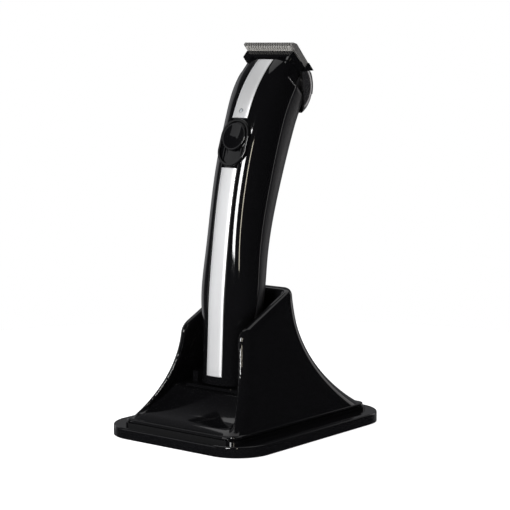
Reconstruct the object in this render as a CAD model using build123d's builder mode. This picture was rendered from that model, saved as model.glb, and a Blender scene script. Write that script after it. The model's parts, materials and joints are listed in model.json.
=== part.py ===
from build123d import *
from math import asin, cos, degrees, radians, sin
import os

os.makedirs("parts", exist_ok=True)

# Millimetres. Z = 0 is the surface under the feet, -Y the front, X = 0 the plane of symmetry.

# ---------------------------------------------------------------- stand, driving dimensions
foot_proud = 0.5
foot_radius = 6.0
foot_thickness = 1.6
plate_width = 92.0
plate_length = 119.2
plate_corner = 18.4
plate_thickness = 5.2
plate_edge_round = 0.8
step_height = 1.5
step_margin = 1.2
lip_height = 1.6
lip_margin = 0.5
seat_gap = 0.1
tent_base_width = 70.2
tent_base_length = 104.2
tent_waist_width = 42.6
side_waist_height = 58.0
front_waist_y = -29.2
front_waist_height = 54.0
rear_waist_y = 12.0
rear_waist_height = 80.0
ridge_round = 4.5
stand_wall = 2.2
wing_thickness = 4.6
rim_front_y = -25.0
rim_front_height = 51.5
rim_slope = 28.9
ramp_top_y = -27.6
ramp_top_height = 22.2
ramp_sag = 1.8
cup_floor = 1.5
cup_wall = 1.4
cup_wall_height = 7.0
pocket_back_gap = 1.3
pocket_back_lean = 9.5

# ---------------------------------------------------------------- clipper, driving dimensions
heel_y = -14.6
heel_height = 25.2
heel_lean = 1.7
grip_length, grip_radius = 63.0, 440.0
chest_length, chest_radius = 70.0, 352.0
neck_length, neck_radius = 24.0, 56.6
shell_wall = 2.0
# across the body at a distance along its spine: distance, half width, front and rear depth, fullness
stations = [
    (0.0, 12.7, 12.0, 11.9, 0.66),
    (25.0, 13.1, 12.3, 12.1, 0.66),
    (37.0, 15.3, 12.9, 12.6, 0.66),
    (63.0, 15.0, 14.0, 13.6, 0.66),
    (103.0, 15.2, 16.0, 16.0, 0.66),
    (133.0, 15.7, 15.2, 16.6, 0.72),
    (145.0, 16.2, 13.8, 15.2, 0.78),
    (157.0, 16.0, 12.2, 13.0, 0.82),
]
strip_width = 9.4
strip_depth = 1.0
strip_gap = 0.04
strip_start = 4.0
strip_end = 153.0
bezel_station = 114.8
bezel_length = 24.4
bezel_width = 17.6
bezel_proud = 0.6
bezel_sink = 2.9
bezel_round = 0.7
track_wall = 1.3
track_depth = 1.5
knob_diameter = 14.3
knob_offset = 2.9
knob_travel = 5.6
knob_height = 1.9
knob_dish = 0.9
knob_gap = 0.15
lamp_diameter = 1.8
lamp_distance = 3.4

# ---------------------------------------------------------------- drive, driving dimensions
battery_diameter, battery_length = 14.2, 50.0
battery_start = 10.0
motor_station = 89.0
motor_diameter, motor_length = 20.0, 25.0
nose_diameter, nose_length = 6.2, 1.5
shaft_diameter = 2.0
cam_start, cam_height, cam_diameter = 15.2, 4.3, 7.4
crank_diameter, crank_height, crank_offset = 2.4, 6.0, 1.1
lever_half_width, lever_half_depth = 2.0, 1.8
lever_tip_half_width = 1.3
stroke = 1.1
pin_diameter = 2.0
running_gap = 0.05
frame_back, frame_sheet = 4.6, 1.4

# ---------------------------------------------------------------- blade set, driving dimensions
blade_width = 30.4
cutter_width = 27.8
comb_tip = 16.3
comb_back = 0.8
comb_bottom, comb_top = 5.0, 8.2
comb_travel = 2.3
cutter_thickness = 0.9
cutter_tip = 15.5
cutter_back = 5.2
tooth_pitch = 1.5
tooth_gap = 0.62
tooth_depth = 4.2
screw_gap = 0.1
carrier_width = 30.0
carrier_front = 13.0
cover_half_width = 16.2
cover_skin = 1.3
cover_round = 5.5
cover_recess = 1.8
cover_gap = 0.35
slider_travel = 8.0

X_AXIS = Vector(1, 0, 0)

# ================================================================ spine of the clipper
def draw_spine():
    """Three tangent arcs in the plane of symmetry, from the heel to the head."""
    grip = JernArc(
        start=(heel_y, heel_height), tangent=(sin(radians(heel_lean)), cos(radians(heel_lean))),
        radius=grip_radius, arc_size=-degrees(grip_length / grip_radius))
    chest = JernArc(
        start=grip @ 1, tangent=grip % 1,
        radius=chest_radius, arc_size=-degrees(chest_length / chest_radius))
    return JernArc(
        start=chest @ 1, tangent=chest % 1,
        radius=neck_radius, arc_size=-degrees(neck_length / neck_radius))


with BuildLine(Plane.YZ) as spine:
    draw_spine()
spine_wire = spine.wires()[0]
neck_start = grip_length + chest_length
spine_length = neck_start + neck_length


def station_plane(distance):
    """Plane across the spine: x is the width, y points to the back, z along the spine."""
    place = spine_wire.position_at(distance / spine_length)
    along = spine_wire.tangent_at(distance / spine_length)
    return Plane(origin=place, x_dir=X_AXIS, z_dir=along)


def depth_at(distance, column):
    """A size of the section at any distance, between the stations."""
    for low, high in zip(stations, stations[1:]):
        if low[0] <= distance <= high[0]:
            share = (distance - low[0]) / (high[0] - low[0])
            return low[column] + share * (high[column] - low[column])
    return stations[-1][column]


def section_quarters(half_width, front, rear, fullness):
    """Right half of a full oval, as two Bezier quarters that meet at the seam."""
    Bezier((0, -front), (fullness * half_width, -front),
           (half_width, -fullness * front), (half_width, 0))
    Bezier((half_width, 0), (half_width, fullness * rear),
           (fullness * half_width, rear), (0, rear))


def hull(inset, neck_inset=0.0):
    """The body's outer form, drawn in by inset, and more by neck_inset at the neck's sides and rear."""
    with BuildPart() as form:
        for distance, half_width, front, rear, fullness in stations:
            around = inset + (neck_inset if distance > neck_start else 0.0)
            with BuildSketch(station_plane(distance)):
                with BuildLine():
                    section_quarters(half_width - around, front - inset, rear - around, fullness)
                    mirror(about=Plane.YZ)
                make_face()
        loft()
    return form.part


def front_point(distance):
    return station_plane(distance).from_local_coords((0, -depth_at(distance, 2), 0))


def slab(plane, low, high, size=120.0):
    """A square block across a plane, from low to high along its normal."""
    with BuildPart() as block:
        with BuildSketch(plane.offset(low)):
            Rectangle(size, size)
        extrude(amount=high - low)
    return block.part


head = station_plane(spine_length)
head_side = Plane(origin=head.origin, x_dir=head.y_dir, z_dir=X_AXIS)
foot = station_plane(0)

body_outer = hull(0)
body_strip = hull(strip_depth)
body_inner = hull(shell_wall, cover_recess)
body_recess = hull(cover_recess)

# Everything in front of the seam, which follows the spine.
with BuildPart() as front_space:
    with BuildSketch(Plane.YZ):
        with BuildLine():
            neck_line = draw_spine()
            beyond = neck_line @ 1 + (neck_line % 1) * 12
            Polyline(
                neck_line @ 1, beyond, (beyond.X - 60, beyond.Y + 20),
                (heel_y - 60, heel_height - 12), (heel_y, heel_height - 12), (heel_y, heel_height))
        make_face()
    extrude(amount=40, both=True)

# ---------------------------------------------------------------- the heel of the head, seen from the side
cover_top = (5.1, comb_top)
cover_shoulder = (11.4, 4.7)
cover_back = (16.2, -4.0)
cover_tip = (15.9, -10.2)
cover_seam_top = (-1.9, 0.8)
cover_seam_low = (14.2, -11.9)

seam_slope = (cover_seam_low[1] - cover_seam_top[1]) / (cover_seam_low[0] - cover_seam_top[0])
seam_reach = 20.0


def cover_space(shift):
    """The space behind the cover's front edge, moved forwards by shift."""
    start = (cover_seam_top[0] - shift, cover_seam_top[1])
    with BuildPart() as space:
        with BuildSketch(head_side):
            with BuildLine():
                Polyline(
                    start, (start[0] + seam_reach, start[1] + seam_reach * seam_slope),
                    (start[0] + 50, start[1] + seam_reach * seam_slope), (start[0] + 50, 30),
                    (start[0], 30), close=True)
            make_face()
        extrude(amount=40, both=True)
    return space.part


# ================================================================ switch place
switch_low = front_point(bezel_station - bezel_length / 2)
switch_high = front_point(bezel_station + bezel_length / 2)
switch_up = (switch_high - switch_low).normalized()
switch_face = Plane(
    origin=front_point(bezel_station), x_dir=X_AXIS, z_dir=X_AXIS.cross(switch_up))


def pill(grow, low, high):
    """A pill-shaped block on the switch's face, from low to high."""
    with BuildPart() as block:
        with BuildSketch(switch_face.offset(low)):
            SlotOverall(bezel_length + 2 * grow, bezel_width + 2 * grow, rotation=90)
        extrude(amount=high - low)
    return block.part


bezel_hole = pill(strip_gap, -12, 12)

# ================================================================ drive line
motor_centre = station_plane(motor_station).origin
slot_point = head.from_local_coords((0, -7.5, 2.7))
drive = Plane(origin=motor_centre, x_dir=X_AXIS, z_dir=slot_point - motor_centre)
drive_length = (slot_point - motor_centre).length
crank_low = cam_start + cam_height
crank_high = crank_low + crank_height
fork_middle = crank_low + crank_height / 2 + 0.3
pivot_height = (fork_middle + drive_length) / 2
lever_arm = drive_length - pivot_height
swing = degrees(asin(stroke / lever_arm))
frame_boss_side, frame_boss_height = 5.6, 33.0
frame_bosses = [(side * frame_boss_side, frame_boss_height) for side in (-1, 1)]
frame_side = Plane(origin=drive.origin, x_dir=X_AXIS, z_dir=-drive.y_dir)

# ================================================================ clipper: shells
shell_boss_station = 69.0
shell_boss_side = 4.2
shell_boss_radius = 2.7
boss_plane = station_plane(shell_boss_station)
boss_front = Plane(origin=boss_plane.origin, x_dir=X_AXIS, z_dir=-boss_plane.y_dir)
boss_rear = Plane(origin=boss_plane.origin, x_dir=X_AXIS, z_dir=boss_plane.y_dir)
boss_places = [(-shell_boss_side, 0), (shell_boss_side, 0)]

lamp_station = bezel_station + bezel_length / 2 + lamp_distance
lamp_plane = Plane(origin=front_point(lamp_station), x_dir=X_AXIS, z_dir=switch_face.z_dir)
lamp_radius = lamp_diameter / 2
lamp_reach = shell_wall + 1.0

strip_channel_half = strip_width / 2 + strip_gap
with BuildPart() as strip_space:
    with BuildSketch(Plane.XY):
        with Locations((0, -40)):
            Rectangle(2 * strip_channel_half, 160)
    extrude(amount=300)
    add(front_space.part, mode=Mode.INTERSECT)
    split(bisect_by=station_plane(strip_start - strip_gap), keep=Keep.TOP)
    split(bisect_by=station_plane(strip_end + strip_gap), keep=Keep.BOTTOM)

with BuildPart() as front_bosses:
    with BuildSketch(boss_front.offset(seat_gap)):
        with Locations(*boss_places):
            Circle(shell_boss_radius)
            Circle(0.8, mode=Mode.SUBTRACT)
    extrude(amount=20)
    add(hull(shell_wall / 2), mode=Mode.INTERSECT)

# The neck is set back under the heel cover, on both shells.
with BuildPart() as neck_recess:
    add(cover_space(0))
    add(body_recess, mode=Mode.SUBTRACT)

with BuildPart() as front_shell:
    add(body_outer)
    add(front_space.part, mode=Mode.INTERSECT)
    add(neck_recess.part, mode=Mode.SUBTRACT)
    add(body_inner, mode=Mode.SUBTRACT)
    with BuildPart(mode=Mode.PRIVATE) as groove:
        add(strip_space.part)
        add(body_strip, mode=Mode.SUBTRACT)
    add(groove.part, mode=Mode.SUBTRACT)
    add(front_bosses.part)
    add(bezel_hole, mode=Mode.SUBTRACT)
    with BuildSketch(lamp_plane.offset(-lamp_reach - 1)):
        Circle(lamp_radius + running_gap)
    extrude(amount=lamp_reach + 2, mode=Mode.SUBTRACT)
front_shell.part.label = "front_shell"
export_step(front_shell.part, "parts/front_shell.step")

screw_head_radius, screw_head_height = 2.2, 1.4
screw_shank_radius = 1.0
rear_face = depth_at(shell_boss_station, 3)
screw_seat = rear_face - 3.2
with BuildPart() as rear_bosses:
    with BuildSketch(boss_rear.offset(seat_gap)):
        with Locations(*boss_places):
            Circle(shell_boss_radius)
    extrude(amount=20)
    with BuildSketch(frame_side.offset(-40)):
        with Locations(*frame_bosses):
            Circle(2.4)
    extrude(amount=40 - frame_back - frame_sheet - seat_gap)
    add(hull(shell_wall / 2), mode=Mode.INTERSECT)
    with BuildSketch(frame_side.offset(-15)):
        with Locations(*frame_bosses):
            Circle(0.8)
    extrude(amount=20, mode=Mode.SUBTRACT)

with BuildPart() as rear_shell:
    add(body_outer)
    add(front_space.part, mode=Mode.SUBTRACT)
    add(neck_recess.part, mode=Mode.SUBTRACT)
    add(body_inner, mode=Mode.SUBTRACT)
    add(rear_bosses.part)
    with BuildSketch(boss_rear.offset(screw_seat)):
        with Locations(*boss_places):
            Circle(screw_head_radius + screw_gap)
    extrude(amount=12, mode=Mode.SUBTRACT)
    with BuildSketch(boss_rear.offset(-1)):
        with Locations(*boss_places):
            Circle(screw_shank_radius + screw_gap)
    extrude(amount=30, mode=Mode.SUBTRACT)
rear_shell.part.label = "rear_shell"
export_step(rear_shell.part, "parts/rear_shell.step")

with BuildPart() as shell_screws:
    with BuildSketch(boss_rear.offset(screw_seat)):
        with Locations(*boss_places):
            Circle(screw_head_radius)
    extrude(amount=screw_head_height)
    with BuildSketch(boss_rear.offset(-4)):
        with Locations(*boss_places):
            Circle(0.8)
    extrude(amount=screw_seat + 4)
shell_screws.part.label = "shell_screws"
export_step(shell_screws.part, "parts/shell_screws.step")

# ================================================================ clipper: foot
contact_side = 5.5
contact_radius = 2.2
contact_sink = 0.6
cap_thickness = 3.0
with BuildPart() as foot_cap:
    add(hull(shell_wall + seat_gap))
    split(bisect_by=station_plane(cap_thickness), keep=Keep.BOTTOM)
    with BuildSketch(foot):
        with Locations((-contact_side, 0), (contact_side, 0)):
            Circle(contact_radius + running_gap)
    extrude(amount=2 * cap_thickness, mode=Mode.SUBTRACT)
foot_cap.part.label = "foot_cap"
export_step(foot_cap.part, "parts/foot_cap.step")

with BuildPart() as charging_contacts:
    with BuildSketch(foot.offset(contact_sink)):
        with Locations((-contact_side, 0), (contact_side, 0)):
            Circle(contact_radius)
    extrude(amount=cap_thickness)
charging_contacts.part.label = "charging_contacts"
export_step(charging_contacts.part, "parts/charging_contacts.step")

# ================================================================ clipper: trim strips, switch
strip_half = strip_width / 2
with BuildPart() as strip_blank:
    add(body_outer)
    add(body_strip, mode=Mode.SUBTRACT)
    with BuildSketch(Plane.XY):
        with Locations((0, -40)):
            Rectangle(2 * strip_half, 160)
    extrude(amount=300, mode=Mode.INTERSECT)
    add(front_space.part, mode=Mode.INTERSECT)
    split(bisect_by=station_plane(strip_start), keep=Keep.TOP)
    split(bisect_by=station_plane(strip_end), keep=Keep.BOTTOM)
    add(pill(2 * strip_gap, -12, 12), mode=Mode.SUBTRACT)

with BuildPart() as upper_trim_strip:
    add(strip_blank.part.solids().sort_by(Axis.Z)[-1])
    with BuildSketch(lamp_plane.offset(-5)):
        Circle(lamp_radius + running_gap)
    extrude(amount=10, mode=Mode.SUBTRACT)
upper_trim_strip.part.label = "upper_trim_strip"
export_step(upper_trim_strip.part, "parts/upper_trim_strip.step")

with BuildPart() as lower_trim_strip:
    add(strip_blank.part.solids().sort_by(Axis.Z)[0])
lower_trim_strip.part.label = "lower_trim_strip"
export_step(lower_trim_strip.part, "parts/lower_trim_strip.step")

with BuildPart() as charge_lamp:
    with BuildSketch(lamp_plane.offset(-lamp_reach)):
        Circle(lamp_radius)
    extrude(amount=lamp_reach + 2)
    add(body_outer, mode=Mode.INTERSECT)
charge_lamp.part.label = "charge_lamp"
export_step(charge_lamp.part, "parts/charge_lamp.step")

stem_width = 3.2
stem_slot_gap = 0.3
with BuildPart() as switch_bezel:
    with BuildSketch(switch_face.offset(-bezel_sink)):
        SlotOverall(bezel_length, bezel_width, rotation=90)
    extrude(amount=bezel_sink + bezel_proud)
    fillet(switch_bezel.faces().sort_by(Axis(switch_face.origin, switch_face.z_dir))[-1].edges(), bezel_round)
    with BuildSketch(switch_face.offset(bezel_proud)):
        SlotOverall(bezel_length - 2 * track_wall, bezel_width - 2 * track_wall, rotation=90)
    extrude(amount=-track_depth, mode=Mode.SUBTRACT)
    with BuildSketch(switch_face.offset(-bezel_sink)):
        with Locations((0, knob_offset - knob_travel / 2)):
            Rectangle(stem_width + 2 * stem_slot_gap, stem_width + knob_travel + 2 * stem_slot_gap)
    extrude(amount=bezel_sink + bezel_proud, mode=Mode.SUBTRACT)
switch_bezel.part.label = "switch_bezel"
export_step(switch_bezel.part, "parts/switch_bezel.step")

track_floor = bezel_proud - track_depth
knob_low = track_floor + knob_gap
knob_radius = knob_diameter / 2
dish_rim = knob_radius - 0.9
dish_radius = (dish_rim ** 2 + knob_dish ** 2) / (2 * knob_dish)
knob_centre = switch_face.from_local_coords((0, knob_offset, 0))
knob_plane = Plane(origin=knob_centre, x_dir=X_AXIS, z_dir=switch_face.z_dir)
stem_reach = 3.4
with BuildPart() as switch_knob:
    with BuildSketch(knob_plane.offset(knob_low)):
        Circle(knob_radius)
    extrude(amount=knob_height)
    fillet(switch_knob.faces().sort_by(Axis(knob_plane.origin, knob_plane.z_dir))[-1].edges(), 0.5)
    with Locations(knob_plane.offset(knob_low + knob_height - knob_dish + dish_radius)):
        Sphere(dish_radius, mode=Mode.SUBTRACT)
    with BuildSketch(knob_plane.offset(knob_low - stem_reach)):
        Rectangle(stem_width, stem_width)
    extrude(amount=stem_reach + 0.5)
switch_knob.part.label = "switch_knob"
export_step(switch_knob.part, "parts/switch_knob.step")

# The switch proper sits on the board, right behind the bezel.
board_thickness = 1.0
switch_top = -bezel_sink - 0.35
toggle_slot_depth = 1.4
board_top = switch_top - 3.2
with BuildPart() as power_switch:
    with BuildSketch(switch_face.offset(board_top + running_gap)):
        with Locations((0, knob_offset - knob_travel / 2)):
            Rectangle(7.0, 14.6)
    extrude(amount=switch_top - board_top - running_gap)
    with BuildSketch(switch_face.offset(switch_top)):
        with Locations((0, knob_offset - knob_travel / 2)):
            Rectangle(stem_width + 2 * stem_slot_gap, stem_width + knob_travel + 2 * stem_slot_gap)
    extrude(amount=-toggle_slot_depth, mode=Mode.SUBTRACT)
power_switch.part.label = "power_switch"
export_step(power_switch.part, "parts/power_switch.step")

board_width = 17.0
with BuildPart() as circuit_board:
    with BuildSketch(switch_face.offset(board_top)):
        with Locations((0, 0.5)):
            Rectangle(board_width, 24.0)
    extrude(amount=-board_thickness)
    with BuildSketch(switch_face.offset(board_top)):
        with Locations((-6.3, -8), (6.3, -8), (6.0, 5), (-6.2, 3)):
            Rectangle(2.6, 3.6)
    extrude(amount=1.2)
circuit_board.part.label = "circuit_board"
export_step(circuit_board.part, "parts/circuit_board.step")

# ================================================================ clipper: battery
battery_plane = station_plane(battery_start + battery_length / 2)
battery_radius = battery_diameter / 2
tab_sheet = 0.3
with BuildPart() as battery_cell:
    with BuildSketch(battery_plane.offset(-battery_length / 2)):
        Circle(battery_radius)
    extrude(amount=battery_length)
    fillet(battery_cell.edges(), 0.6)
    with BuildSketch(battery_plane.offset(battery_length / 2)):
        Circle(2.8)
    extrude(amount=1.0)
battery_cell.part.label = "battery_cell"
export_step(battery_cell.part, "parts/battery_cell.step")

with BuildPart() as battery_tabs:
    with BuildSketch(battery_plane.offset(battery_length / 2 + 1.0 + running_gap)):
        Rectangle(4.0, 11.0)
    extrude(amount=tab_sheet)
    with BuildSketch(battery_plane.offset(-battery_length / 2 - tab_sheet - running_gap)):
        Rectangle(4.0, 11.0)
    extrude(amount=tab_sheet)
battery_tabs.part.label = "battery_tabs"
export_step(battery_tabs.part, "parts/battery_tabs.step")

holder_wall = 1.0
with BuildPart() as battery_holder:
    with BuildSketch(battery_plane.offset(-battery_length / 2 + 6)):
        Circle(battery_radius + running_gap + holder_wall)
        Circle(battery_radius + running_gap, mode=Mode.SUBTRACT)
        with Locations((0, -20)):
            Rectangle(40, 40, mode=Mode.SUBTRACT)
    extrude(amount=battery_length - 12)
    add(hull(shell_wall + seat_gap), mode=Mode.INTERSECT)
battery_holder.part.label = "battery_holder"
export_step(battery_holder.part, "parts/battery_holder.step")

# ================================================================ clipper: motor and drive
motor_half = motor_length / 2
motor_radius = motor_diameter / 2
with BuildPart() as motor_can:
    with BuildSketch(drive.offset(-motor_half + 2.0)):
        Circle(motor_radius)
    extrude(amount=motor_length - 2.0)
    fillet(motor_can.edges().sort_by(Axis(drive.origin, drive.z_dir))[-1], 0.8)
    with BuildSketch(drive.offset(motor_half)):
        Circle(nose_diameter / 2)
    extrude(amount=nose_length)
    with BuildSketch(drive.offset(-motor_half)):
        Circle(shaft_diameter / 2 + running_gap)
    extrude(amount=motor_length + 10, mode=Mode.SUBTRACT)
motor_can.part.label = "motor_can"
export_step(motor_can.part, "parts/motor_can.step")

with BuildPart() as motor_cap:
    with BuildSketch(drive.offset(-motor_half)):
        Circle(motor_radius - 0.4)
    extrude(amount=2.0)
    with BuildSketch(drive.offset(-motor_half - 2.0)):
        with Locations((-6, 0), (6, 0)):
            Rectangle(0.6, 2.4)
    extrude(amount=2.0)
    with BuildSketch(drive.offset(-motor_half)):
        Circle(shaft_diameter / 2 + running_gap)
    extrude(amount=3, mode=Mode.SUBTRACT)
motor_cap.part.label = "motor_cap"
export_step(motor_cap.part, "parts/motor_cap.step")

with BuildPart() as motor_shaft:
    with BuildSketch(drive.offset(-motor_half)):
        Circle(shaft_diameter / 2)
    extrude(amount=motor_half + cam_start + cam_height - 1.0)
motor_shaft.part.label = "motor_shaft"
export_step(motor_shaft.part, "parts/motor_shaft.step")

with BuildPart() as eccentric_cam:
    with BuildSketch(drive.offset(cam_start)):
        Circle(cam_diameter / 2)
    extrude(amount=cam_height)
    with BuildSketch(drive.offset(crank_low)):
        with Locations((0, crank_offset)):
            Circle(crank_diameter / 2)
    extrude(amount=crank_height)
    with BuildSketch(drive.offset(cam_start)):
        Circle(shaft_diameter / 2)
    extrude(amount=cam_height - 1.0, mode=Mode.SUBTRACT)
eccentric_cam.part.label = "eccentric_cam"
export_step(eccentric_cam.part, "parts/eccentric_cam.step")

fork_gap = crank_diameter / 2 + crank_offset + stroke + 0.25
fork_wall = 1.4
fork_roof = crank_high + 0.9
lever_side = Plane(origin=drive.origin, x_dir=X_AXIS, z_dir=drive.y_dir)
with BuildPart() as drive_lever:
    with BuildSketch(lever_side.offset(-lever_half_depth)):
        with BuildLine():
            Polyline(
                (lever_tip_half_width, -drive_length - 0.6), (lever_tip_half_width, -drive_length + 2.6),
                (lever_half_width, -drive_length + 6.0), (lever_half_width, -fork_roof - 2.6),
                (fork_gap + fork_wall, -fork_roof), (fork_gap + fork_wall, -crank_low - 0.6),
                (fork_gap, -crank_low - 0.6), (fork_gap, -fork_roof), (0, -fork_roof))
            mirror(about=Plane.YZ)
            Line((-lever_tip_half_width, -drive_length - 0.6), (lever_tip_half_width, -drive_length - 0.6))
        make_face()
        with Locations((0, -pivot_height)):
            Circle(3.2)
            Circle(pin_diameter / 2 + running_gap, mode=Mode.SUBTRACT)
    extrude(amount=2 * lever_half_depth)
drive_lever.part.label = "drive_lever"
export_step(drive_lever.part, "parts/drive_lever.step")

frame_half_width = 8.0
frame_top = pivot_height + 5.0
flange_low = motor_half + running_gap
flange_high = flange_low + 1.2
with BuildPart() as drive_frame:
    with BuildSketch(lever_side.offset(frame_back)):
        with Locations((0, -(flange_low + frame_top) / 2)):
            Rectangle(2 * frame_half_width, frame_top - flange_low)
        with Locations((0, -pivot_height)):
            Circle(pin_diameter / 2, mode=Mode.SUBTRACT)
        with Locations(*[(side, -height) for side, height in frame_bosses]):
            Circle(1.2, mode=Mode.SUBTRACT)
    extrude(amount=frame_sheet)
    with BuildSketch(drive.offset(flange_low)):
        with Locations((0, (frame_back + frame_sheet - 8.0) / 2)):
            Rectangle(2 * frame_half_width, frame_back + frame_sheet + 8.0)
        Circle(nose_diameter / 2 + running_gap, mode=Mode.SUBTRACT)
    extrude(amount=flange_high - flange_low)
drive_frame.part.label = "drive_frame"
export_step(drive_frame.part, "parts/drive_frame.step")

with BuildPart() as lever_pin:
    with BuildSketch(lever_side.offset(-lever_half_depth - 0.1)):
        with Locations((0, -pivot_height)):
            Circle(pin_diameter / 2)
    extrude(amount=lever_half_depth + 0.1 + frame_back + frame_sheet)
    with BuildSketch(lever_side.offset(-lever_half_depth - 0.9)):
        with Locations((0, -pivot_height)):
            Circle(pin_diameter)
    extrude(amount=0.8)
lever_pin.part.label = "lever_pin"
export_step(lever_pin.part, "parts/lever_pin.step")

with BuildPart() as frame_screws:
    with BuildSketch(lever_side.offset(frame_back - 1.2)):
        with Locations(*[(side, -height) for side, height in frame_bosses]):
            Circle(1.9)
    extrude(amount=1.2 - 0.02)
    with BuildSketch(lever_side.offset(frame_back - 0.5)):
        with Locations(*[(side, -height) for side, height in frame_bosses]):
            Circle(0.8)
    extrude(amount=5.5)
frame_screws.part.label = "frame_screws"
export_step(frame_screws.part, "parts/frame_screws.step")

# ================================================================ blade set, all across the head plane
def head_block(half_width, front, back, low, high, corner=0.0):
    """A block in the head's frame: back is positive towards the rear, low and high along the spine."""
    with BuildPart() as block:
        with BuildSketch(head.offset(low)):
            with Locations((0, (front + back) / 2)):
                if corner > 0:
                    RectangleRounded(2 * half_width, back - front, corner)
                else:
                    Rectangle(2 * half_width, back - front)
        extrude(amount=high - low)
    return block.part


cutter_top = comb_bottom - running_gap
cutter_bottom = cutter_top - cutter_thickness
blade_half = blade_width / 2
cutter_half = cutter_width / 2
deck_front = -cutter_back + 0.4
blade_screw_back = -3.4
blade_screw_side = 11.5
blade_screw_places = [(-blade_screw_side, blade_screw_back), (blade_screw_side, blade_screw_back)]
comb_rear = -comb_back
tooth_count = int(blade_width / tooth_pitch) - 1
comb_edge = 1.5

with BuildPart() as comb_blade:
    with BuildSketch(head_side):
        with BuildLine():
            Polyline(
                (comb_rear, comb_bottom), (comb_rear, comb_top), (-comb_tip + 2.6, comb_top),
                (-comb_tip, comb_bottom + comb_edge), (-comb_tip, comb_bottom), close=True)
        make_face()
    extrude(amount=blade_half, both=True)
    with BuildSketch(head.offset(comb_bottom - 1)):
        with Locations((0, -comb_tip + tooth_depth / 2 - 0.5)):
            with GridLocations(tooth_pitch, 1, tooth_count, 1):
                Rectangle(tooth_gap, tooth_depth + 1)
    extrude(amount=6, mode=Mode.SUBTRACT)
    with BuildSketch(head.offset(comb_bottom - 1)):
        with Locations(*blade_screw_places):
            Circle(1.2 + screw_gap)
        with Locations(*[(side, back + 3) for side, back in blade_screw_places]):
            Rectangle(2.4 + 2 * screw_gap, 6)
    extrude(amount=6, mode=Mode.SUBTRACT)
    with BuildSketch(head.offset(comb_bottom + 1.6)):
        with Locations(*blade_screw_places):
            Circle(2.2 + screw_gap)
        with Locations(*[(side, back + 3) for side, back in blade_screw_places]):
            Rectangle(4.4 + 2 * screw_gap, 6)
    extrude(amount=6, mode=Mode.SUBTRACT)
comb_blade.part.label = "comb_blade"
export_step(comb_blade.part, "parts/comb_blade.step")

cutter_teeth = int(cutter_width / tooth_pitch) - 1
with BuildPart() as cutter_blade:
    with BuildSketch(head.offset(cutter_bottom)):
        with Locations((0, -(cutter_tip + cutter_back) / 2)):
            Rectangle(cutter_width, cutter_tip - cutter_back)
    extrude(amount=cutter_thickness)
    with BuildSketch(head.offset(cutter_bottom - 1)):
        with Locations((0, -cutter_tip + 2.6 / 2 - 0.5)):
            with GridLocations(tooth_pitch, 1, cutter_teeth, 1):
                Rectangle(tooth_gap + 0.1, 2.6 + 1)
    extrude(amount=6, mode=Mode.SUBTRACT)
cutter_blade.part.label = "cutter_blade"
export_step(cutter_blade.part, "parts/cutter_blade.step")

rib_gap = lever_tip_half_width + 0.3
rib_wall = 1.4
rib_depth = 2.6
rib_front, rib_back = -10.4, -5.4
with BuildPart() as cutter_drive_block:
    with BuildSketch(head.offset(cutter_bottom - rib_depth)):
        with Locations((0, (rib_front + rib_back) / 2)):
            with GridLocations(2 * rib_gap + rib_wall, 1, 2, 1):
                Rectangle(rib_wall, rib_back - rib_front)
    extrude(amount=rib_depth)
cutter_drive_block.part.label = "cutter_drive_block"
export_step(cutter_drive_block.part, "parts/cutter_drive_block.step")


cover_flat = 0.3


def cover_form(inset, half_width, seam_shift, reach):
    """The cover's outline from the side, drawn in by inset; its front edge moved forwards by seam_shift."""
    top = comb_top - inset
    back = cover_back[0] - inset
    shoulder = 0.7 * inset
    with BuildPart() as form:
        with BuildSketch(head_side):
            with BuildLine():
                ThreePointArc(
                    (cover_top[0], top), (cover_shoulder[0] - shoulder, cover_shoulder[1] - shoulder),
                    (back, cover_back[1]))
                Polyline(
                    (back, cover_back[1]), (cover_tip[0] - inset, cover_tip[1]),
                    (cover_seam_low[0] - seam_shift, cover_seam_low[1] - reach),
                    (cover_seam_top[0] - seam_shift, cover_seam_top[1]),
                    (cover_top[0] - cover_flat - seam_shift, top), (cover_top[0], top))
            make_face()
        extrude(amount=half_width, both=True)
    return form.part


cover_inner_half = cover_half_width - cover_skin
carrier_half = carrier_width / 2
carrier_low = 0.15
hump_front = comb_rear + 0.2
hump_back = cover_top[0] - cover_flat - 0.1
hump_slope = (comb_top - cover_seam_top[1]) / (cover_top[0] - cover_flat - cover_seam_top[0])
hump_low = comb_top - (hump_back - hump_front) * hump_slope
with BuildPart() as heel_cover:
    add(cover_form(0, cover_half_width, 0, 0))
    shoulder_face = heel_cover.faces().filter_by(GeomType.CYLINDER).sort_by(SortBy.AREA)[-1]
    fillet(shoulder_face.edges().filter_by(GeomType.CIRCLE), cover_round)
    add(cover_form(cover_skin, cover_inner_half, 6, 5), mode=Mode.SUBTRACT)
    add(hull(cover_recess - cover_gap), mode=Mode.SUBTRACT)
heel_cover.part.label = "heel_cover"
export_step(heel_cover.part, "parts/heel_cover.step")

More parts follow.
